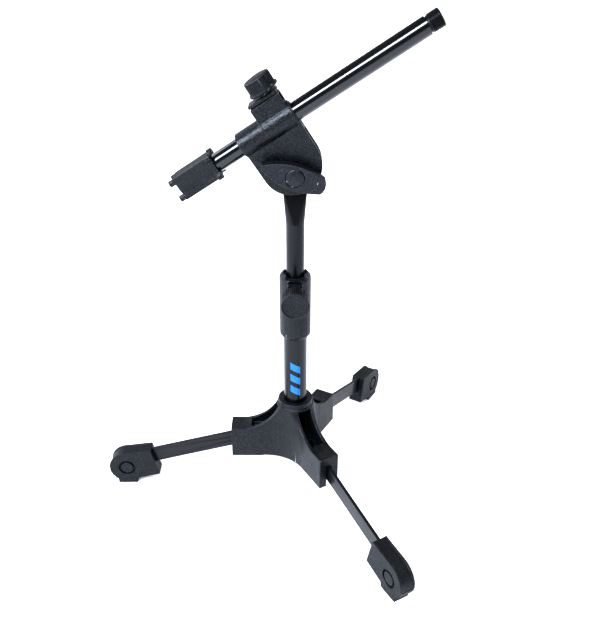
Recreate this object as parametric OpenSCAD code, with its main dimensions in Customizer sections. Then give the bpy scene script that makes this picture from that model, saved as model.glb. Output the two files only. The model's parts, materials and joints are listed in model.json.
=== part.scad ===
// Short boom microphone stand: a three-armed hub with folding flat-bar legs,
// a telescopic mast with a clamp, and a tilting head that holds a sliding boom.
// The floor is z = 0, the mast stands on the Z axis and the boom lies over X.

/* [Legs] */
// Direction of the first leg, in degrees round the mast
leg_azimuth = 180; // [150:5:210]
// Distance of a leg's hinge from the mast axis
hinge_u = 35; // [33:0.5:37]
// Slope of an open leg below the horizontal
leg_slope = 14.5; // [14:0.5:15]
// Height of the flat bar
bar_h = 16; // [14:0.5:16]
// Thickness of the flat bar
bar_t = 3; // [2.5:0.1:3]
// Length of the flat bar from its hinge
bar_len = 134; // [130:1:138]
// Radius of a leg's hinge pin
pin_r = 2.5; // [2:0.1:3]

/* [Feet] */
// Thickness of a rubber foot
foot_w = 15; // [13:0.5:16]
// Radius of a foot's rounded end
foot_r = 17.6; // [17:0.1:18]
// Distance of the rounded end's centre from the mast axis
foot_u = 171; // [169:0.5:172]
// Height of the rounded end's centre
foot_z = 19; // [18.5:0.5:20]
// Distance along the bar from the hinge to the foot's inner face
foot_start = 111.9; // [110:0.5:114]
// Radius of the round boss on each side of a foot
foot_boss_r = 6.3; // [5:0.1:7]

/* [Hub] */
// Distance of an arm's end face from the mast axis
arm_end = 63; // [61:0.5:65]
// Width of an arm
arm_w = 20; // [19:0.2:21]
// Height of the hub's underside above the floor
hub_bottom = 37; // [36:0.5:39]
// Height of the arms' flat top
arm_top = 70; // [69:0.5:71]
// Height of the collar's rim
collar_top = 101.5; // [98:0.5:104]
// Outer radius of the collar
collar_r = 16.5; // [15:0.5:17]
// Radius of the hollow between two arms
web_r = 40; // [37:1:46]

/* [Mast] */
// Radius of the lower tube
lower_r = 11; // [10.5:0.1:11.5]
// Height of the lower tube's top end
lower_top = 190; // [186:1:194]
// Radius of the upper tube
upper_r = 8; // [7.5:0.1:8]
// Height of the upper tube's bottom end
upper_bottom = 112; // [105:1:120]
// Height of the head's pivot
pivot_z = 329; // [325:1:340]

/* [Height clamp] */
// Height of the clamp's lower edge
clamp_bottom = 170.5; // [169:0.5:173]
// Height of the clamp's top
clamp_top = 236; // [235:0.5:238]
// Radius of the clamp's body
clamp_r = 14.25; // [14:0.25:15]
// Height of the clamp screw's axis
screw_z = 220.5; // [220:0.5:221]
// Radius of the height knob
height_knob_r = 12.5; // [11:0.5:13]

/* [Head] */
// Angle of the boom above the horizontal
boom_angle = 33; // [20:1:45]
// Distance from the pivot to the boom's axis
boom_offset = 41; // [40:0.5:42]
// Outer radius of the barrel round the boom
barrel_r = 11; // [10.8:0.1:11.2]
// Outside width across the two cheeks
cheeks_w = 14.5; // [14.5:0.5:15]
// Radius of the boom knob
boom_knob_r = 12; // [11:0.5:12.5]
// Length of the wing lock
wing_len = 54; // [48:1:56]
// Width of the wing lock
wing_w = 21; // [18:1:22]
// Slope of the wing lock below the horizontal
wing_tilt = 19; // [0:1:40]

/* [Boom] */
// Radius of the boom tube
boom_r = 8; // [7.5:0.1:8]
// Length of boom in front of the head's centre, without its thread
boom_front = 147; // [130:1:160]
// Length of boom behind the head's centre, inside its end cap
boom_rear = 88; // [86:1:90]
// Length of the threaded tip
thread_len = 12; // [10:1:14]
// Radius of the threaded tip: five eighths of an inch across
thread_r = 7.94; // [7.8:0.02:7.94]
// Width of the boom's square end cap
cap_w = 23; // [22:0.5:24]

/* [Hidden] */
$fn = 64;

plastic = [0.11, 0.115, 0.125];
steel_black = [0.06, 0.065, 0.075];
rubber = [0.05, 0.05, 0.055];
zinc = [0.72, 0.73, 0.74];

run = 0.05;                       // radial clearance of a running fit
arm_half = arm_w / 2;
web_c = (arm_half + web_r - 0.15) / sin(60);
web_u = web_c * cos(60);
hinge_z = 58.85;
slot_half = bar_t / 2 + 0.9;
mouth_half = arm_half - 3.4;      // half width of the opening on top of an arm
mouth_end = 43;                   // where the roof over the bar starts
slot_start = hinge_u - bar_h / 2 - 0.9;
mouth_top = collar_top - 6.5;
lower_bore = lower_r - 1.5;
socket_floor = hub_bottom + 8;
m6 = 3;                           // radius of every clamp screw
bar_half = bar_h / 2;
wall = 1.5;
tang_t = 3;
tang_w = 23;
gap_half = 3.35;                  // half width of the gap between the cheeks
knob_x = 15.3;                    // place of the boom screw along the barrel
lug_top = 24.6;                   // top of the lug above the boom's axis
cap_start = 50;
barrel_back = -25;
barrel_front = 26;
lug_back = -2;
cheek_back = -24.5;
cap_end = 92;

// height of the roof over the bar, 0.1 above the open leg's top edge, at u from the mast
function bar_top(u) = hinge_z + (bar_half + 0.1) / cos(leg_slope) - (u - hinge_u) * tan(leg_slope);

// ---------- frames of reference ----------

// turns a shape drawn along +X into the direction of leg k
module on_arm(k) rotate([0, 0, leg_azimuth + 120 * k]) children();

// puts a shape drawn along +X on the open leg k, with its hinge at the origin
module on_leg(k) on_arm(k) translate([hinge_u, 0, hinge_z]) rotate([0, leg_slope, 0]) children();

// puts a shape drawn along +X on the boom, with the head's pivot at the origin
module on_head() translate([0, 0, pivot_z]) rotate([0, -boom_angle, 0]) children();

// a cylinder along X, from x = a to x = b
module rod_x(r, a, b) translate([a, 0, 0]) rotate([0, 90, 0]) cylinder(r = r, h = b - a);

// a cylinder along Y, from y = a to y = b
module rod_y(r, a, b) translate([0, b, 0]) rotate([90, 0, 0]) cylinder(r = r, h = b - a);

// a plate with its outline in the XZ plane, from y = a to y = b
module plate_y(a, b) translate([0, b, 0]) rotate([90, 0, 0]) linear_extrude(b - a) children();

// a knob along +Z: a grooved rim, a shallow raised face and a skirt
module ribbed_knob(r, h, ribs) {
    difference() {
        cylinder(r = r, h = h - 1.5);
        for (i = [0 : ribs - 1])
            rotate([0, 0, i * 360 / ribs]) translate([r + 0.35, 0, 1.5]) cylinder(r = 0.8, h = h);
    }
    translate([0, 0, h - 1.5]) cylinder(r = r - 1.6, h = 1.5);
}

// ---------- hub and legs ----------

// a point of an arm's plan, u along the arm and v across it, turned to arm k
function arm_point(k, u, v) =
    let (a = leg_azimuth + 120 * k) [u * cos(a) - v * sin(a), u * sin(a) + v * cos(a)];

module hub_outline() {
    corners = [[web_u, -arm_half], [arm_end, -arm_half], [arm_end, arm_half], [web_u, arm_half]];
    difference() {
        polygon([for (k = [0 : 2]) for (c = corners) arm_point(k, c[0], c[1])]);
        for (k = [0 : 2]) on_arm(k + 0.5) translate([web_c, 0]) circle(r = web_r, $fn = 128);
    }
}

// the hub's outline on one side of the mast: flat arms, then a hollow curve up to the collar
module hub_side() {
    difference() {
        translate([0, hub_bottom]) square([arm_end + 8, collar_top - hub_bottom]);
        intersection() {
            translate([0, arm_top]) square([80, 60]);
            translate([54, arm_top + 37.9]) circle(r = 38, $fn = 128);
        }
        translate([54, arm_top]) square([60, 60]);
        translate([collar_r, collar_top - 5]) square([60, 20]);
    }
}

module hub() color(plastic) difference() {
    intersection() {
        linear_extrude(collar_top) hub_outline();
        rotate_extrude($fn = 128) hub_side();
    }
    translate([0, 0, socket_floor]) cylinder(r = lower_r, h = 90);
    translate([0, 0, hub_bottom - 1]) cylinder(r = m6 + 0.3, h = 20);
    translate([0, 0, hub_bottom - 1]) cylinder(r = 6, h = 5);
    for (k = [0 : 2]) {
        // the slot that the bar swings down through, under a sloping roof
        on_arm(k) plate_y(-slot_half, slot_half)
            polygon([[slot_start, 30], [75, 30], [75, bar_top(75)], [mouth_end - 1, bar_top(mouth_end - 1)],
                     [mouth_end - 1, hinge_z + bar_half + 0.8], [slot_start, hinge_z + bar_half + 0.8]]);
        // the wider opening on top, from the roof to the collar
        on_arm(k) translate([lower_r - 1, -mouth_half, hinge_z + bar_half - 1])
            cube([mouth_end - lower_r + 1, 2 * mouth_half, mouth_top - hinge_z - bar_half + 1]);
        // the pin's hole, drilled from the side that faces away
        on_leg(k) mirror([0, k == 0 ? 1 : 0, 0]) rod_y(pin_r, -8, arm_half + 1);
    }
}

module leg_pins() color(zinc)
    for (k = [0 : 2]) on_leg(k) mirror([0, k == 0 ? 1 : 0, 0]) rod_y(pin_r, -8, 9.4);

module hub_bolt() color(zinc) difference() {
    union() {
        translate([0, 0, socket_floor - 7.4]) cylinder(r = 5.5, h = 3.4);
        translate([0, 0, socket_floor - 4.1]) cylinder(r = m6, h = 16);
    }
    translate([0, 0, socket_floor - 8]) cylinder(r = 2.9, h = 2.8, $fn = 6);
}

module tube_plug() color(zinc) difference() {
    translate([0, 0, socket_floor + 0.1]) cylinder(r = lower_bore, h = 14);
    translate([0, 0, socket_floor - 1]) cylinder(r = m6, h = 20);
}

module lower_tube() color(steel_black) difference() {
    translate([0, 0, socket_floor + 0.1]) cylinder(r = lower_r, h = lower_top - socket_floor - 0.1);
    translate([0, 0, socket_floor]) cylinder(r = lower_bore, h = 200);
}

module leg(k) color(steel_black) on_leg(k) difference() {
    union() {
        translate([0, -bar_t / 2, -bar_half]) cube([bar_len, bar_t, bar_h]);
        rod_y(bar_half, -bar_t / 2, bar_t / 2);
    }
    rod_y(pin_r + run, -bar_t, bar_t);
}
module leg_1() leg(0);
module leg_2() leg(1);
module leg_3() leg(2);

// a foot's side view: u runs outwards from the mast, z up from the floor
inner_u = hinge_u + foot_start * cos(leg_slope);
inner_z = hinge_z - foot_start * sin(leg_slope);
face_top = [inner_u + 9.4 * sin(leg_slope), inner_z + 9.4 * cos(leg_slope)];
face_low = [inner_u - 20.4 * sin(leg_slope), inner_z - 20.4 * cos(leg_slope)];
to_end = [foot_u - face_top[0], foot_z - face_top[1]];
reach = sqrt(norm(to_end) * norm(to_end) - foot_r * foot_r);
top_dir = atan2(to_end[1], to_end[0]) + asin(foot_r / norm(to_end));
top_end = [face_top[0] + reach * cos(top_dir), face_top[1] + reach * sin(top_dir)];

module foot_side() {
    translate([foot_u, foot_z]) circle(r = foot_r);
    polygon([face_low, face_top, top_end, [foot_u + 10, foot_z], [foot_u + 10, 0],
             [foot_u - 9, 0], [foot_u - 11, 5.5]]);
}

module foot(k) color(rubber) difference() {
    on_arm(k) difference() {
        plate_y(-foot_w / 2, foot_w / 2) foot_side();
        // a ring-shaped hollow leaves a round boss on each side
        for (side = [-1, 1]) translate([foot_u, side * foot_w / 2, foot_z]) difference() {
            rod_y(foot_boss_r + 2, -2.2, 2.2);
            rod_y(foot_boss_r, -3, 3);
        }
        // a shallow channel over the top and round the end leaves a rib along each edge
        plate_y(1.6 - foot_w / 2, foot_w / 2 - 1.6) difference() {
            translate([foot_u - 50, foot_z - 3]) square([90, 60]);
            translate([-0.6, -0.7]) foot_side();
        }
    }
    on_leg(k) translate([foot_start - 2, -bar_t / 2 - 0.05, -bar_half - 0.05])
        cube([bar_len - foot_start + 2.5, bar_t + 0.1, bar_h + 0.1]);
}
module foot_1() foot(0);
module foot_2() foot(1);
module foot_3() foot(2);

// ---------- mast ----------

module height_clamp_body() color(plastic) difference() {
    union() {
        translate([0, 0, clamp_bottom]) cylinder(r1 = clamp_r - 2.85, r2 = clamp_r, h = 4.5);
        translate([0, 0, clamp_bottom + 4.5]) cylinder(r = clamp_r, h = clamp_top - clamp_bottom - 9);
        translate([0, 0, clamp_top - 4.5]) cylinder(r1 = clamp_r, r2 = clamp_r - 0.8, h = 2);
        translate([0, 0, clamp_top - 2.5]) cylinder(r1 = clamp_r - 0.8, r2 = clamp_r - 3.2, h = 2.5);
        // the boss that carries the nut and the screw
        translate([-6.5, -19.5, screw_z - 13]) cube([13, 14, 24.5]);
    }
    translate([0, 0, clamp_bottom - 1]) cylinder(r = lower_r, h = lower_top - clamp_bottom + 1);
    translate([0, 0, lower_top - 1]) cylinder(r = upper_r + 0.4, h = 80);
    translate([0, 0, screw_z + 7]) cylinder(r = 10, h = 40);
    // the rim is notched at the front and at the back
    translate([-8.5, -20, clamp_top - 3]) cube([17, 40, 10]);
    translate([0, 0, screw_z]) rod_y(3.75, -12.6, 0);
    translate([0, 0, screw_z]) rod_y(m6 + run, -25, 0);
    translate([-5.1, -16.8, screw_z - 5.1]) cube([10.2, 4.2, 40]);
}

module height_nut() color(zinc) difference() {
    translate([-5, -16.75, screw_z - 5]) cube([10, 4.1, 10]);
    translate([0, 0, screw_z]) rod_y(m6 + run, -25, 0);
}

module clamp_bush() color(plastic) difference() {
    translate([0, 0, screw_z + 7.05]) cylinder(r = 10, h = 5.4);
    translate([0, 0, screw_z + 5]) cylinder(r = upper_r + run, h = 20);
}

module height_pad() color(zinc) difference() {
    translate([0, 0, screw_z]) rod_y(3.7, -10.6, -6);
    translate([0, 0, screw_z - 10]) cylinder(r = upper_r + run, h = 20);
    translate([0, 0, screw_z]) rod_y(m6 + run, -13, -9.9);
}

module height_stud() color(zinc) translate([0, 0, screw_z]) rod_y(m6, -33, -9.95);

module height_knob() color(plastic) difference() {
    translate([0, -21, screw_z]) rotate([90, 0, 0]) union() {
        ribbed_knob(height_knob_r, 17, 36);
        cylinder(r = 7, h = 1);
    }
    translate([0, 0, screw_z]) rod_y(m6, -33, -20);
}

module guide_bush() color(plastic) difference() {
    translate([0, 0, upper_bottom - 2]) cylinder(r = lower_bore - run, h = 16);
    translate([0, 0, upper_bottom - 0.1]) cylinder(r = upper_r + run, h = 20);
    translate([0, 0, upper_bottom - 5]) cylinder(r = 5, h = 20);
}

module upper_tube() color(steel_black) difference() {
    union() {
        translate([0, 0, upper_bottom]) cylinder(r = upper_r, h = pivot_z - 46 - upper_bottom);
        // the end of the tube is pressed flat into a tang
        hull() {
            translate([0, 0, pivot_z - 47]) cylinder(r = upper_r, h = 1);
            translate([-10.2, -tang_t / 2, pivot_z - 17]) cube([20.4, tang_t, 1]);
        }
        plate_y(-tang_t / 2, tang_t / 2)
            polygon([[-10.2, pivot_z - 17], [10.2, pivot_z - 17], [tang_w / 2, pivot_z], [-tang_w / 2, pivot_z]]);
        translate([0, 0, pivot_z]) rod_y(tang_w / 2, -tang_t / 2, tang_t / 2);
    }
    translate([0, 0, upper_bottom - 1]) cylinder(r = upper_r - wall, h = pivot_z - 50 - upper_bottom);
    translate([0, 0, pivot_z]) rod_y(m6 + run, -5, 5);
}

// ---------- head ----------

module cheek_outline() {
    translate([cheek_back, 7]) square([51, 30]);
    translate([cheek_back + 25.5, 7]) circle(r = 25.5);
}

module boom_clamp_body() color(plastic) on_head() difference() {
    union() {
        translate([0, 0, boom_offset]) rod_x(barrel_r, barrel_back, barrel_front);
        translate([0, 0, boom_offset]) rod_x(barrel_r + 0.3, lug_back + 1, barrel_front);
        plate_y(-cheeks_w / 2, cheeks_w / 2) cheek_outline();
        // the lug above the barrel, with a line cut round it under its cap
        translate([lug_back, -8, boom_offset]) cube([26.5, 16, 21]);
        translate([lug_back + 1.5, -6.5, boom_offset]) cube([23.5, 13, 23]);
        translate([lug_back, -8, boom_offset + 22.2]) cube([26.5, 16, lug_top - 22.2]);
    }
    translate([0, 0, boom_offset]) rod_x(boom_r + 1.7, -40, 40);
    translate([-40, -gap_half, -40]) cube([80, 2 * gap_half, 66]);
    rod_y(m6 + 0.1, -20, 20);
    translate([0, cheeks_w / 2 - 2, 0]) rotate([-90, 0, 0]) cylinder(r = 5.9, h = 5, $fn = 6);
    translate([knob_x, 0, boom_offset]) cylinder(r = 3.75, h = 12.8);
    translate([knob_x, 0, boom_offset]) cylinder(r = m6 + run, h = 40);
    translate([knob_x - 5.1, -5.1, boom_offset + 12.6]) cube([30, 10.2, 7]);
}

module tilt_washers() color([0.2, 0.2, 0.21]) on_head()
    for (side = [-1, 1]) difference() {
        rod_y(9.5, side > 0 ? tang_t / 2 + 0.05 : -gap_half, side > 0 ? gap_half : -tang_t / 2 - 0.05);
        rod_y(m6 + 0.1, -20, 20);
    }

module tilt_bolt() color(zinc) on_head() {
    translate([0, cheeks_w / 2 - 1.95, 0]) rotate([-90, 0, 0]) cylinder(r = 5.75, h = 4, $fn = 6);
    rod_y(m6, -17, cheeks_w / 2 - 1.9);
}

module wing_washer() color(zinc) on_head() difference() {
    rod_y(6.5, -cheeks_w / 2 - 1.2, -cheeks_w / 2 - 0.05);
    rod_y(m6 + run, -20, 20);
}

// a leaf shape where two circles overlap, with its left end narrower than its right
module wing_blade() {
    reach = wing_len / 2 + 7;
    big = (reach * reach + wing_w * wing_w / 4) / wing_w;
    rotate([0, wing_tilt, 0]) intersection() {
        plate_y(-20.5, -cheeks_w / 2 - 4) intersection() {
            translate([2.5, big - wing_w / 2]) circle(r = big, $fn = 128);
            translate([2.5, wing_w / 2 - big]) circle(r = big, $fn = 128);
        }
        union() {
            translate([wing_len / 2 - 12, 0, 0]) rod_y(11, -22, -10);
            translate([5 - wing_len / 2, 0, 0]) rod_y(6.5, -22, -10);
            translate([5 - wing_len / 2, -22, -15]) cube([wing_len - 17, 12, 30]);
        }
    }
}

module tilt_wing() color(plastic) translate([0, 0, pivot_z]) difference() {
    union() {
        wing_blade();
        rod_y(9, -14, -cheeks_w / 2 - 1.25);
    }
    // the blade on the right is scooped out for a thumb
    rotate([0, wing_tilt, 0]) translate([18, -38.9, -20]) cylinder(r = 20, h = 40, $fn = 96);
    rod_y(7.9, -21, -19.4);
    rod_y(m6 + 0.3, -30, 0);
    translate([0, -12.4, 0]) rotate([90, 0, 0]) cylinder(r = 5.8, h = 20, $fn = 6);
}

module wing_nut() color(zinc) translate([0, 0, pivot_z]) difference() {
    translate([0, -12.45, 0]) rotate([90, 0, 0]) cylinder(r = 5.75, h = 5, $fn = 6);
    rod_y(m6 + run, -30, 0);
}

module wing_cap() color(plastic) translate([0, 0, pivot_z]) {
    rod_y(7.8, -20.6, -19.45);
}

module boom_nut() color(zinc) on_head() difference() {
    translate([knob_x - 5, -5, boom_offset + 12.7]) cube([10, 10, 6.8]);
    translate([knob_x, 0, boom_offset]) cylinder(r = m6 + run, h = 40);
}

module boom_pad() color(zinc) on_head() difference() {
    translate([knob_x, 0, boom_offset + 6]) cylinder(r = 3.7, h = 4.9);
    translate([0, 0, boom_offset]) rod_x(boom_r + run, -5, 30);
    translate([knob_x, 0, boom_offset + 10.15]) cylinder(r = m6 + run, h = 5);
}

module boom_stud() color(zinc) on_head()
    translate([knob_x, 0, boom_offset + 10.2]) cylinder(r = m6, h = 26.8);

module boom_knob() color(plastic) on_head() difference() {
    translate([knob_x, 0, boom_offset + 26.8]) union() {
        ribbed_knob(boom_knob_r, 14, 36);
        translate([0, 0, 1]) cylinder(r = boom_knob_r + 1, h = 1.8);
        translate([0, 0, -1]) cylinder(r = 7, h = 2);
    }
    translate([knob_x, 0, boom_offset]) cylinder(r = m6, h = 37.05);
}

// ---------- boom ----------

module on_boom() on_head() translate([0, 0, boom_offset]) children();

module boom_bushes() color(rubber) on_boom()
    for (span = [[barrel_back - 0.6, 8], [21, barrel_front + 0.8]]) difference() {
        rod_x(boom_r + 1.7 - run, span[0], span[1]);
        rod_x(boom_r + run, span[0] - 1, span[1] + 1);
    }

module boom_tube() color(steel_black) on_boom() difference() {
    rod_x(boom_r, -boom_rear, boom_front);
    rod_x(boom_r - wall, -boom_rear - 1, boom_front + 1);
}

module mic_thread() color(steel_black) on_boom() difference() {
    union() {
        rod_x(boom_r - wall, boom_front - 16, boom_front + 1);
        // a narrow neck, then the thread at its outside diameter
        rod_x(boom_r - 1, boom_front + 0.05, boom_front + 2);
        rod_x(thread_r, boom_front + 1.5, boom_front + thread_len);
    }
    rod_x(boom_r - 3, boom_front - 17, boom_front + thread_len + 1);
}

// a square with hollow sides
module cap_section(w) {
    difference() {
        square([w, w], center = true);
        for (i = [0 : 3]) rotate(90 * i) translate([w / 2 + 23.6, 0]) circle(r = 25, $fn = 96);
    }
}

module cap_corners(r, place, a, b)
    for (y = [-place, place], z = [-place, place]) translate([0, y, z]) rod_x(r, a, b);

module boom_end_cap() color(plastic) on_boom() difference() {
    union() {
        translate([-cap_end + 4.5, 0, 0]) rotate([90, 0, 90])
            linear_extrude(cap_end - cap_start - 5) cap_section(cap_w - 2.5);
        translate([-cap_start - 4, 0, 0]) rotate([90, 0, 90]) linear_extrude(3.4) cap_section(cap_w - 1);
        // round studs at the corners of both ends
        cap_corners(3.1, cap_w / 2 - 2.9, -cap_start - 4.6, -cap_start);
        cap_corners(2.7, cap_w / 2 - 4.1, -cap_end, -cap_end + 6);
    }
    rod_x(boom_r + 0.02, -boom_rear - 0.1, -cap_start + 1);
}

hub();
hub_bolt();
tube_plug();
lower_tube();
leg_pins();
leg_1();
leg_2();
leg_3();
foot_1();
foot_2();
foot_3();
height_clamp_body();
height_nut();
clamp_bush();
height_pad();
height_stud();
height_knob();
guide_bush();
upper_tube();
boom_clamp_body();
tilt_washers();
tilt_bolt();
wing_washer();
tilt_wing();
wing_nut();
wing_cap();
boom_nut();
boom_pad();
boom_stud();
boom_knob();
boom_bushes();
boom_tube();
mic_thread();
boom_end_cap();
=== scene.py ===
"""Looks for a short boom microphone stand: its plastic mouldings with softened edges,
ribbed knobs, a cut thread, painted tubes, rubber feet, and the studio round it."""
import json
import math

import bpy
from mathutils import Matrix, Vector


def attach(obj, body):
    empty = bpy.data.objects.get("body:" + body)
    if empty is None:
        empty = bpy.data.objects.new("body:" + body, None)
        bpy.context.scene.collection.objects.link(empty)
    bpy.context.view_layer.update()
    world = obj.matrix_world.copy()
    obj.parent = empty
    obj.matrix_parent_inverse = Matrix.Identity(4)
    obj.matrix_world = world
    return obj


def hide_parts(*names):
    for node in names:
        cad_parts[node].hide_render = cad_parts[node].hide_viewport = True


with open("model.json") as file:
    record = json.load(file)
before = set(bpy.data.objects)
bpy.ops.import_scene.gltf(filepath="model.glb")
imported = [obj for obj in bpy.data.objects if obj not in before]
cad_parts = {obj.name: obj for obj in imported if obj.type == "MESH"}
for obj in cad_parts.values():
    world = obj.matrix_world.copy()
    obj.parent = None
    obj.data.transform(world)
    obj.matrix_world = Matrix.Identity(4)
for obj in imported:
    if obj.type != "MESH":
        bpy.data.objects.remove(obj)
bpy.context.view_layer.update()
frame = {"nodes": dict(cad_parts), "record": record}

MM = 0.001
joints = {j["name"]: j for j in frame["record"]["behaviour"]["joints"]}

# ---------------------------------------------------------------- small tools


def linear(hex_colour):
    """sRGB hex to the linear colour that shaders use, with alpha 1."""
    parts = [int(hex_colour[i:i + 2], 16) / 255 for i in (1, 3, 5)]
    return [c / 12.92 if c <= 0.04045 else ((c + 0.055) / 1.055) ** 2.4 for c in parts] + [1.0]


def only(obj):
    """Selects this object alone and makes it active."""
    bpy.ops.object.select_all(action="DESELECT")
    obj.select_set(True)
    bpy.context.view_layer.objects.active = obj


def settle(obj, name, material, body, slot, *stands_for):
    """Puts the object's place into its mesh, names it, and ties it to its body, finish and nodes."""
    only(obj)
    bpy.ops.object.transform_apply(location=True, rotation=True, scale=True)
    obj.name = name
    obj.data.name = name
    obj.data.materials.clear()
    obj.data.materials.append(material)
    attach(obj, body)
    if stands_for:
        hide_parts(*stands_for)
    return obj


def apply_modifier(obj, kind, **settings):
    """Adds one modifier with its settings and applies it."""
    only(obj)
    modifier = obj.modifiers.new(kind.title(), kind)
    for key, value in settings.items():
        setattr(modifier, key, value)
    bpy.ops.object.modifier_apply(modifier=modifier.name)


def pick(obj, mode, test):
    """In edit mode, selects just the faces, edges or vertices that pass the test."""
    bpy.ops.mesh.select_mode(type=mode)
    bpy.ops.mesh.select_all(action="DESELECT")
    bpy.ops.object.mode_set(mode="OBJECT")
    items = {"FACE": obj.data.polygons, "EDGE": obj.data.edges, "VERT": obj.data.vertices}[mode]
    for item in items:
        item.select = bool(test(item))
    bpy.ops.object.mode_set(mode="EDIT")


# ------------------------------------------------------------------ materials


def add(tree, kind, inputs=None, **settings):
    """One shader node: settings are its own, inputs are values or the sockets that feed it."""
    node = tree.nodes.new("ShaderNode" + kind)
    for key, value in settings.items():
        setattr(node, key, value)
    for key, value in (inputs or {}).items():
        if isinstance(value, bpy.types.NodeSocket):
            tree.links.new(value, node.inputs[key])
        else:
            node.inputs[key].default_value = value
    return node


def blank_material(name, **constants):
    """A material with its shader and Object coordinates ready, and its constant sockets set."""
    material = bpy.data.materials.new(name)
    material.use_nodes = True
    tree = material.node_tree
    shader = tree.nodes["Principled BSDF"]
    for key, value in constants.items():
        shader.inputs[key.replace("_", " ")].default_value = value
    place = add(tree, "TexCoord").outputs["Object"]
    return material, tree, shader, place


def mix_colour(tree, factor, first, second):
    """The colour between first and second, by factor."""
    node = add(tree, "Mix", data_type="RGBA", blend_type="MIX")
    for socket, value in (("Factor_Float", factor), ("A_Color", first), ("B_Color", second)):
        target = next(s for s in node.inputs if s.identifier == socket)
        if isinstance(value, bpy.types.NodeSocket):
            tree.links.new(value, target)
        else:
            target.default_value = value
    return next(s for s in node.outputs if s.identifier == "Result_Color")


def spread(tree, value, low, high):
    """A pattern's middle range stretched to run from low to high."""
    return add(tree, "MapRange", {"Value": value, "From Min": 0.3, "From Max": 0.7,
                                  "To Min": low, "To Max": high}).outputs["Result"]


def painted_edge_highlight(tree, place, start=0.53, end=0.60):
    """1 on outside edges, where a paler line is painted in as a highlight, broken up so that the painted
    highlight isn't even.
    """
    edge = add(tree, "MapRange", {"Value": add(tree, "NewGeometry").outputs["Pointiness"],
                                  "From Min": start, "From Max": end}).outputs["Result"]
    patches = add(tree, "TexNoise", {"Vector": place, "Scale": 1 / (9 * MM), "Detail": 4.0})
    broken = spread(tree, patches.outputs["Fac"], 0.35, 1.0)
    return add(tree, "Math", {0: edge, 1: broken}, operation="MULTIPLY").outputs["Value"]


def moulded_plastic(name, colour, pale, rough, grain=1.5 * MM, depth=0.14 * MM, edge_highlight_share=0.85, glint_share=0.18):
    """Black ABS or nylon from a spark-eroded mould: a fine pitted grain that scatters the light, with pale
    cool grey flecks painted in as glints, faint flow marks, and a paler line painted along the outside edges
    as a highlight."""
    material, tree, shader, place = blank_material(name, IOR=1.5, Coat_Weight=0.0, Specular_IOR_Level=0.5)
    # the real grain is about 0.15 mm: it is drawn coarser, so that it shows
    pits = add(tree, "TexNoise", {"Vector": place, "Scale": 1 / grain, "Detail": 3.0, "Roughness": 0.7})
    cells = add(tree, "TexVoronoi", {"Vector": place, "Scale": 1 / (grain * 1.3)})
    flow = add(tree, "TexNoise", {"Vector": place, "Scale": 1 / (22 * MM), "Detail": 5.0,
                                  "Roughness": 0.6, "Distortion": 0.8})
    speck = spread(tree, pits.outputs["Fac"], 0.0, 1.0)
    body = mix_colour(tree, spread(tree, flow.outputs["Fac"], 0.0, 0.55), linear(colour), linear(pale))
    body = mix_colour(tree, add(tree, "Math", {0: speck, 1: 0.35}, operation="MULTIPLY").outputs[0],
                      body, linear(pale))
    # painted glints: pale flecks on the tops of the grain, painted into the colour as the light catching them
    tops = add(tree, "TexNoise", {"Vector": place, "Scale": 1 / (grain * 0.5),
                                  "Detail": 2.0, "Roughness": 0.8})
    painted_glint = add(tree, "MapRange", {"Value": tops.outputs["Fac"], "From Min": 0.47, "From Max": 0.72,
                                   "To Min": 0.0, "To Max": glint_share}).outputs["Result"]
    body = mix_colour(tree, painted_glint, body, linear("#8E959C"))
    # painted highlight: a pale grey line painted into the colour along the outside edges, where light would
    # catch them
    painted_edge_lines = painted_edge_highlight(tree, place)
    paler_mix = add(tree, "Math", {0: painted_edge_lines, 1: edge_highlight_share}, operation="MULTIPLY").outputs[0]
    body = mix_colour(tree, paler_mix, body, linear("#A3A9B0"))
    tree.links.new(body, shader.inputs["Base Color"])
    sheen = spread(tree, flow.outputs["Fac"], rough - 0.05, rough + 0.06)
    dulling = add(tree, "Math", {0: speck, 1: 0.10}, operation="MULTIPLY").outputs[0]
    sheen = add(tree, "Math", {0: sheen, 1: dulling}, operation="ADD").outputs[0]
    tree.links.new(sheen, shader.inputs["Roughness"])
    height = add(tree, "Math", {0: pits.outputs["Fac"], 1: cells.outputs["Distance"]},
                 operation="ADD").outputs[0]
    bump = add(tree, "Bump", {"Height": height, "Strength": 1.0, "Distance": depth})
    tree.links.new(bump.outputs["Normal"], shader.inputs["Normal"])
    return material


def black_paint(name, colour, rough, coat, peel=2.2 * MM, peel_depth=0.012 * MM, dust=0.15):
    """Baked black enamel on steel tube: deep and glossy with a slight orange peel, fine
    rub marks round it, and a little dust that greys it in patches."""
    material, tree, shader, place = blank_material(
        name, IOR=1.5, Coat_Weight=coat, Coat_Roughness=0.08, Coat_IOR=1.5)
    skin = add(tree, "TexNoise", {"Vector": place, "Scale": 1 / peel, "Detail": 2.0})
    rubs = add(tree, "TexNoise", {"Vector": place, "Scale": 1 / (1.1 * MM), "Detail": 6.0, "Roughness": 0.75})
    cloud = add(tree, "TexNoise", {"Vector": place, "Scale": 1 / (30 * MM), "Detail": 4.0})
    patch = spread(tree, cloud.outputs["Fac"], 0.0, dust)
    colour_out = mix_colour(tree, patch, linear(colour), linear("#3A3E44"))
    paler_mix = spread(tree, rubs.outputs["Fac"], 0.0, dust * 0.8)
    colour_out = mix_colour(tree, paler_mix, colour_out, linear("#2C3035"))
    tree.links.new(colour_out, shader.inputs["Base Color"])
    tree.links.new(add(tree, "Math", {0: spread(tree, rubs.outputs["Fac"], rough - 0.03, rough + 0.05),
                                      1: patch}, operation="ADD").outputs[0], shader.inputs["Roughness"])
    bump = add(tree, "Bump", {"Height": skin.outputs["Fac"], "Strength": 0.5, "Distance": peel_depth})
    tree.links.new(bump.outputs["Normal"], shader.inputs["Normal"])
    return material, tree, shader, place, colour_out


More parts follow.
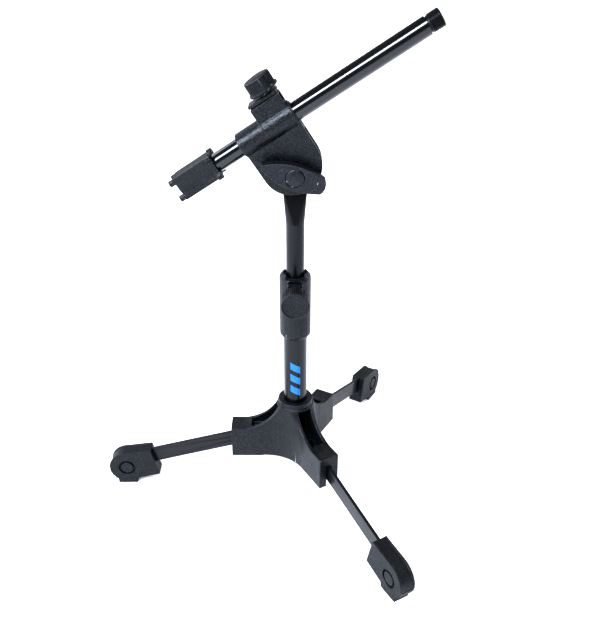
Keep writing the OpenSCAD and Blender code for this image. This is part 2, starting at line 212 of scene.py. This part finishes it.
def zinc_plate(name):
    """Bright zinc plate on turned steel: pale grey with a blue cast, and fine turning lines."""
    material, tree, shader, place = blank_material(name, Metallic=1.0)
    cloud = add(tree, "TexNoise", {"Vector": place, "Scale": 1 / (5 * MM), "Detail": 4.0})
    lines = add(tree, "TexNoise", {"Vector": place, "Scale": 1 / (0.5 * MM), "Detail": 3.0})
    tree.links.new(mix_colour(tree, spread(tree, cloud.outputs["Fac"], 0, 1), linear("#B4B8BC"),
                              linear("#8E9398")), shader.inputs["Base Color"])
    tree.links.new(spread(tree, cloud.outputs["Fac"], 0.28, 0.45), shader.inputs["Roughness"])
    bump = add(tree, "Bump", {"Height": lines.outputs["Fac"], "Strength": 0.3, "Distance": 0.02 * MM})
    tree.links.new(bump.outputs["Normal"], shader.inputs["Normal"])
    return material


hub_finish = moulded_plastic("hub_nylon_spark_grain", "#060607", "#131517", 0.36)
clamp_finish = moulded_plastic("clamp_nylon_spark_grain", "#08090A", "#1A1C20", 0.34)
head_finish = moulded_plastic("head_nylon_spark_grain", "#060608", "#15171A", 0.30)
wing_finish = moulded_plastic("wing_nylon_spark_grain", "#0A0B0D", "#1D2025", 0.30)
knob_finish = moulded_plastic("knob_abs_fine_grain", "#060607", "#101113", 0.44, grain=1.2 * MM)
end_cap_finish = moulded_plastic("end_cap_abs_fine_grain", "#060708", "#15171A", 0.34, grain=1.2 * MM)
bush_finish = moulded_plastic("bush_acetal_smooth", "#0B0B0C", "#141415", 0.38,
                              depth=0.03 * MM, edge_highlight_share=0.1, glint_share=0.0)
fibre_finish = moulded_plastic("washer_pressed_fibre", "#2B2723", "#3B362F", 0.75, edge_highlight_share=0.1)
foot_finish = moulded_plastic("foot_rubber_matte", "#060607", "#121314", 0.48, grain=1.3 * MM, edge_highlight_share=0.25)
boom_finish = black_paint("boom_enamel_gloss", "#050608", 0.16, 1.0, dust=0.03)[0]
upper_finish = black_paint("upper_tube_enamel_satin", "#050507", 0.30, 0.1, dust=0.05)[0]
leg_finish = black_paint("leg_enamel_satin", "#0B0C0E", 0.36, 0.35, dust=0.14)[0]
thread_finish = black_paint("thread_blackened_steel", "#0A0A0B", 0.34, 0.2, dust=0.12)[0]
zinc_finish = zinc_plate("zinc_plate_turned")

lower_finish, lower_tree, lower_shader, lower_place, lower_colour = black_paint(
    "lower_tube_enamel_gloss", "#030304", 0.20, 0.3, dust=0.03)


OVAL_MIDDLE = 128.5 * MM        # height of the oval's middle above the floor
OVAL_HALF_HEIGHT = 21.5 * MM
OVAL_HALF_WIDTH = 6.4 * MM
BARS_START = 112 * MM           # height of the lowest bar's lower edge
BAR_SPACING = 12.5 * MM
BAR_HALF_WIDTH = 4.6 * MM
BAR_SLANT = 0.55                # rise of a bar for each unit across
BAR_SHARE = 0.6                 # how much of the spacing a bar fills
BARS_END = 2.65                 # in spacings: just past the third bar's upper edge


def lower_tube_mark(tree, shader, place, colour):
    """A plain printed mark on the front of the lower tube: a black oval with slanted blue bars."""
    split = add(tree, "SeparateXYZ", {"Vector": place})
    x, y, z = split.outputs["X"], split.outputs["Y"], split.outputs["Z"]

    def sums(operation, *values):
        return add(tree, "Math", dict(enumerate(values)), operation=operation).outputs[0]

    front = sums("LESS_THAN", y, 0.0)
    up = sums("DIVIDE", sums("SUBTRACT", z, OVAL_MIDDLE), OVAL_HALF_HEIGHT)
    across = sums("DIVIDE", x, OVAL_HALF_WIDTH)
    tall = sums("POWER", sums("ABSOLUTE", up), 4.0)
    wide = sums("POWER", sums("ABSOLUTE", across), 2.0)
    inside = sums("ADD", tall, wide)
    oval = sums("MULTIPLY", sums("LESS_THAN", inside, 1.0), front)
    slanted = sums("ADD", sums("SUBTRACT", z, BARS_START), sums("MULTIPLY", x, BAR_SLANT))
    bars = sums("DIVIDE", slanted, BAR_SPACING)
    on = sums("LESS_THAN", sums("FRACT", bars), BAR_SHARE)
    on = sums("MULTIPLY", on, sums("LESS_THAN", sums("ABSOLUTE", x), BAR_HALF_WIDTH))
    within = sums("MULTIPLY", sums("GREATER_THAN", bars, 0.0), sums("LESS_THAN", bars, BARS_END))
    on = sums("MULTIPLY", on, within)
    on = sums("MULTIPLY", on, front)
    ink = mix_colour(tree, oval, colour, linear("#020203"))
    tree.links.new(mix_colour(tree, on, ink, linear("#1573B4")), shader.inputs["Base Color"])


lower_tube_mark(lower_tree, lower_shader, lower_place, lower_colour)

# ---------------------------------------------------------- camera and studio

CAMERA_BACK = 0.6167      # distance in front of the mast
CAMERA_UP = 0.5348        # height above the floor
CAMERA_DOWN = 28.99       # degrees below the horizontal
CAMERA_RIGHT = 0.15       # degrees to the right of straight ahead
LENS = 44.16

camera_data = bpy.data.cameras.new("camera")
camera_data.lens = LENS
camera = bpy.data.objects.new("camera", camera_data)
camera.location = (0, -CAMERA_BACK, CAMERA_UP)
camera.rotation_euler = (math.radians(90 - CAMERA_DOWN), 0, -math.radians(CAMERA_RIGHT))
bpy.context.scene.collection.objects.link(camera)
bpy.context.scene.camera = camera


def softbox(name, place, aim, width, height, watts, colour="#FFFFFF", roll=0):
    """A rectangular lamp that faces the point aim."""
    data = bpy.data.lights.new(name, "AREA")
    data.shape = "RECTANGLE"
    data.size, data.size_y = width, height
    data.energy = watts
    data.color = linear(colour)[:3]
    lamp = bpy.data.objects.new(name, data)
    lamp.location = place
    facing = (Vector(aim) - Vector(place)).to_track_quat("-Z", "Y").to_matrix()
    lamp.rotation_euler = (facing @ Matrix.Rotation(math.radians(roll), 3, "Z")).to_euler()
    bpy.context.scene.collection.objects.link(lamp)


middle = (0, 0, 0.22)
softbox("key_strip", (-1.05, -1.55, 1.75), (0, 0, 0.36), 2.8, 0.80, 165, "#E8F0FF", roll=33)
softbox("left_softbox", (-1.15, 0.55, 0.55), middle, 0.8, 1.4, 14, "#EEF4FF")
softbox("right_softbox", (1.15, 0.60, 0.55), middle, 0.8, 1.4, 12, "#EEF4FF")
softbox("edge_strip", (0.1, -1.1, 2.3), middle, 1.3, 0.22, 11, "#F6F9FF")
softbox("far_floor_softbox", (0, 3.0, 1.8), (0, 3.9, 0), 3.4, 1.0, 75, "#F6F9FF")
softbox("rear_strip", (-0.5, 2.0, 0.9), (0, 0, 0.35), 1.8, 0.3, 6, "#F6F9FF")

world = bpy.data.worlds.new("studio_white")
world.use_nodes = True
world.node_tree.nodes["Background"].inputs["Color"].default_value = linear("#F4F6F8")
world.node_tree.nodes["Background"].inputs["Strength"].default_value = 0.55
bpy.context.scene.world = world
bpy.context.scene.view_settings.view_transform = "Standard"
bpy.context.scene.view_settings.look = "Very High Contrast"
bpy.context.scene.view_settings.exposure = -0.85

bpy.ops.object.select_all(action="DESELECT")
bpy.ops.mesh.primitive_plane_add(size=14, location=(0, 0, 0))
floor = bpy.context.active_object
floor.name = "studio_floor"
paper, paper_tree, paper_shader, paper_place = blank_material("studio_backlit_acrylic", Roughness=0.9,
                                                                Emission_Strength=0.32)
fibres = add(paper_tree, "TexNoise", {"Vector": paper_place, "Scale": 40.0, "Detail": 3.0})
paper_tree.links.new(mix_colour(paper_tree, spread(paper_tree, fibres.outputs["Fac"], 0, 1),
                                linear("#FAFAFA"), linear("#FCFCFC")), paper_shader.inputs["Base Color"])
floor.data.materials.append(paper)
paper_shader.inputs["Emission Color"].default_value = linear("#FCFDFF")

# ------------------------------------------------- mouldings with softened edges


def copy_of(node):
    """A loose copy of a CAD node's mesh, merged and without its own normals."""
    source = frame["nodes"][node]
    obj = source.copy()
    obj.data = source.data.copy()
    obj.parent = None
    obj.matrix_world = Matrix.Identity(4)
    for modifier in list(obj.modifiers):
        obj.modifiers.remove(modifier)
    bpy.context.scene.collection.objects.link(obj)
    only(obj)
    if obj.data.has_custom_normals:
        bpy.ops.mesh.customdata_custom_splitnormals_clear()
    bpy.ops.object.mode_set(mode="EDIT")
    bpy.ops.mesh.select_all(action="SELECT")
    bpy.ops.mesh.remove_doubles(threshold=0.002 * MM)
    bpy.ops.object.mode_set(mode="OBJECT")
    return obj


def soften(node, material, body, slot, width, steps=2, sharp=28):
    """A moulding's outside edges are never sharp: each is rounded by the mould's radius."""
    obj = copy_of(node)
    apply_modifier(obj, "BEVEL", width=width * MM, segments=steps, limit_method="ANGLE",
                   angle_limit=math.radians(sharp), use_clamp_overlap=False)
    apply_modifier(obj, "TRIANGULATE")
    only(obj)
    bpy.ops.object.shade_smooth_by_angle(angle=math.radians(40))
    apply_modifier(obj, "WEIGHTED_NORMAL", keep_sharp=True, weight=60)
    return settle(obj, node + "_moulding", material, body, slot, node)


def cast(node, material, body, slot, grid, share, passes=4):
    """A moulding with many small details: its surface is laid again on a fine even grid and
    smoothed, which rounds every edge by about one step of the grid, and then thinned out."""
    obj = copy_of(node)
    apply_modifier(obj, "REMESH", mode="VOXEL", voxel_size=grid * MM, adaptivity=0.0)
    apply_modifier(obj, "SMOOTH", factor=0.5, iterations=passes)
    apply_modifier(obj, "DECIMATE", ratio=share)
    only(obj)
    bpy.ops.object.shade_smooth_by_angle(angle=math.radians(50))
    return settle(obj, node + "_moulding", material, body, slot, node)


cast("hub", hub_finish, "base", "hub_plastic", 0.5, 0.25)
cast("height_clamp_body", clamp_finish, "base", "clamp_plastic", 0.33, 0.35)
cast("boom_clamp_body", head_finish, "head", "head_plastic", 0.36, 0.30)
for k in (1, 2, 3):
    cast("foot_%d" % k, foot_finish, "leg_%d" % k, "foot_rubber", 0.34, 0.35, passes=5)
    soften("leg_%d" % k, leg_finish, "leg_%d" % k, "leg_paint", 0.35)
cast("tilt_wing", wing_finish, "wing", "wing_plastic", 0.30, 0.35, passes=6)
cast("boom_end_cap", end_cap_finish, "boom", "end_cap_plastic", 0.30, 0.40)

# ------------------------------------------------------------- turned pieces


def turned(rings, vertices):
    """A round solid along +Z: starts as a disc, and each ring (radius, height) is one extrude."""
    bpy.ops.object.select_all(action="DESELECT")
    first, rest = rings[0], rings[1:]
    bpy.ops.mesh.primitive_circle_add(vertices=vertices, radius=first[0] * MM, fill_type="NGON",
                                      location=(0, 0, first[1] * MM))
    obj = bpy.context.active_object
    bpy.ops.object.transform_apply(location=True, rotation=True, scale=True)
    bpy.ops.object.mode_set(mode="EDIT")
    bpy.ops.mesh.select_all(action="SELECT")
    radius, height = first
    for next_radius, next_height in rest:
        rise = (next_height - height) * MM
        bpy.ops.mesh.extrude_region_move(TRANSFORM_OT_translate={"value": (0, 0, rise)})
        part = next_radius / radius
        bpy.ops.transform.resize(value=(part, part, 1), center_override=(0, 0, next_height * MM))
        radius, height = next_radius, next_height
    bpy.ops.mesh.select_all(action="SELECT")
    bpy.ops.mesh.normals_make_consistent(inside=False)
    bpy.ops.object.mode_set(mode="OBJECT")
    return obj


def around(centre, vertices):
    """Which of the circle's sides this face centre lies on."""
    return int(round(math.atan2(centre.y, centre.x) / (2 * math.pi) * vertices - 0.5)) % vertices


def ribs(obj, low, high, radius, vertices, rise):
    """Pairs of side faces between two heights, two out of every four, are drawn out as ribs."""
    bpy.ops.object.mode_set(mode="EDIT")
    pick(obj, "FACE", lambda f: low * MM < f.center.z < high * MM
         and math.hypot(f.center.x, f.center.y) > (radius - 1) * MM
         and abs(f.normal.z) < 0.5 and around(f.center, vertices) % 4 < 2)
    bpy.ops.mesh.extrude_region_shrink_fatten(TRANSFORM_OT_shrink_fatten={"value": -rise * MM})
    bpy.ops.object.mode_set(mode="OBJECT")


def round_edges(obj, width, steps=2, sharp=32):
    """Bevels every edge sharper than the angle, then smooths the shading between them."""
    apply_modifier(obj, "BEVEL", width=width * MM, segments=steps, limit_method="ANGLE",
                   angle_limit=math.radians(sharp), use_clamp_overlap=False, loop_slide=False)
    only(obj)
    bpy.ops.object.shade_smooth_by_angle(angle=math.radians(38))


def stand(obj, place, towards):
    """Turns the piece's own +Z to face the given way and puts its origin at the place."""
    turn = Vector(towards).to_track_quat("Z", "Y").to_matrix().to_4x4()
    obj.matrix_world = Matrix.Translation(place) @ turn


head = joints["boom_spin"]
boom_way = Vector(head["axis"])
boom_middle = Vector(head["pos_m"])
boom_up = Vector(joints["boom_knob_turn"]["axis"])
KNOB_ALONG, KNOB_LIFT = 15.3 * MM, 26.8 * MM
pivot = Vector(joints["head_tilt"]["pos_m"])

# the boom's knob: a skirt, a ribbed rim and a domed face
SIDES = 160
knob = turned([(6.8, -1), (6.8, 0.1), (11.4, 0.1), (12.7, 0.9), (12.7, 2.5), (11.4, 3.1), (11.4, 12.0),
               (11.1, 12.6), (10.6, 13.0), (8.6, 13.4), (5.5, 13.75), (2.0, 13.95), (0.4, 14.0)], SIDES)
ribs(knob, 3.2, 11.9, 11.4, SIDES, 0.55)
round_edges(knob, 0.12)
stand(knob, boom_middle + boom_way * KNOB_ALONG + boom_up * KNOB_LIFT, boom_up)
settle(knob, "boom_knob_ribbed", knob_finish, "boom_screw", "knob_plastic", "boom_knob")

# the height knob: a deeper ribbed rim and a flat face with a raised edge
HEIGHT_KNOB_OUT = 21 * MM       # from the mast's axis to the knob's back
knob = turned([(6.8, 0.1), (6.8, 1.0), (11.9, 1.0), (11.9, 15.0), (12.45, 15.2), (12.45, 16.2), (12.1, 16.8),
               (11.7, 16.95), (11.3, 16.9), (11.0, 16.4), (0.5, 16.35)], SIDES)
ribs(knob, 1.2, 14.8, 11.9, SIDES, 0.5)
round_edges(knob, 0.12)
stand(knob, (0, -HEIGHT_KNOB_OUT, joints["height_knob_turn"]["pos_m"][2]), (0, -1, 0))
settle(knob, "height_knob_ribbed", knob_finish, "height_screw", "knob_plastic", "height_knob")

# the threaded tip: 27 turns to the inch, drawn as rings, with a chamfer and a bored end
PITCH = 0.94
THREAD_TURNS = 10
THREAD_START, THREAD_ROOT, THREAD_CREST = 1.95, 7.30, 7.92
rings = [(6.4, -16), (6.4, 0.9), (7.0, 1.0), (7.0, 1.9)]
for turn in range(THREAD_TURNS):
    start = THREAD_START + turn * PITCH
    rings += [(THREAD_ROOT, start + 0.10), (THREAD_CREST, start + 0.40),
              (THREAD_CREST, start + 0.55), (THREAD_ROOT, start + 0.85)]
rings += [(7.2, 11.5), (6.7, 11.95), (5.6, 11.95), (5.2, 11.6), (5.0, 6.0), (0.5, 5.9)]
tip = turned(rings, 96)
round_edges(tip, 0.05, steps=1)
BOOM_FRONT = 147 * MM
stand(tip, boom_middle + boom_way * BOOM_FRONT, boom_way)
settle(tip, "mic_thread_cut", thread_finish, "boom", "thread_steel", "mic_thread")

# the wing's cap: a shallow dome in its round seat
cap = turned([(7.6, 19.5), (7.6, 20.3), (7.2, 20.6), (6.0, 20.9), (4.0, 21.2), (2.0, 21.35), (0.3, 21.4)], 96)
round_edges(cap, 0.1)
stand(cap, pivot, (0, -1, 0))
settle(cap, "wing_cap_domed", wing_finish, "wing", "cap_plastic", "wing_cap")

# --------------------------------------------------- finishes on the CAD nodes

for names, material in (
    (("boom_tube",), boom_finish),
    (("upper_tube",), upper_finish),
    (("lower_tube",), lower_finish),
    (("clamp_bush", "guide_bush", "boom_bushes"), bush_finish),
    (("tilt_washers",), fibre_finish),
    (("hub_bolt", "tube_plug", "leg_pins", "height_nut", "height_pad", "height_stud",
      "tilt_bolt", "wing_washer", "wing_nut", "boom_nut", "boom_pad", "boom_stud"), zinc_finish),
):
    for name in names:
        mesh = frame["nodes"][name].data
        mesh.materials.clear()
        mesh.materials.append(material)
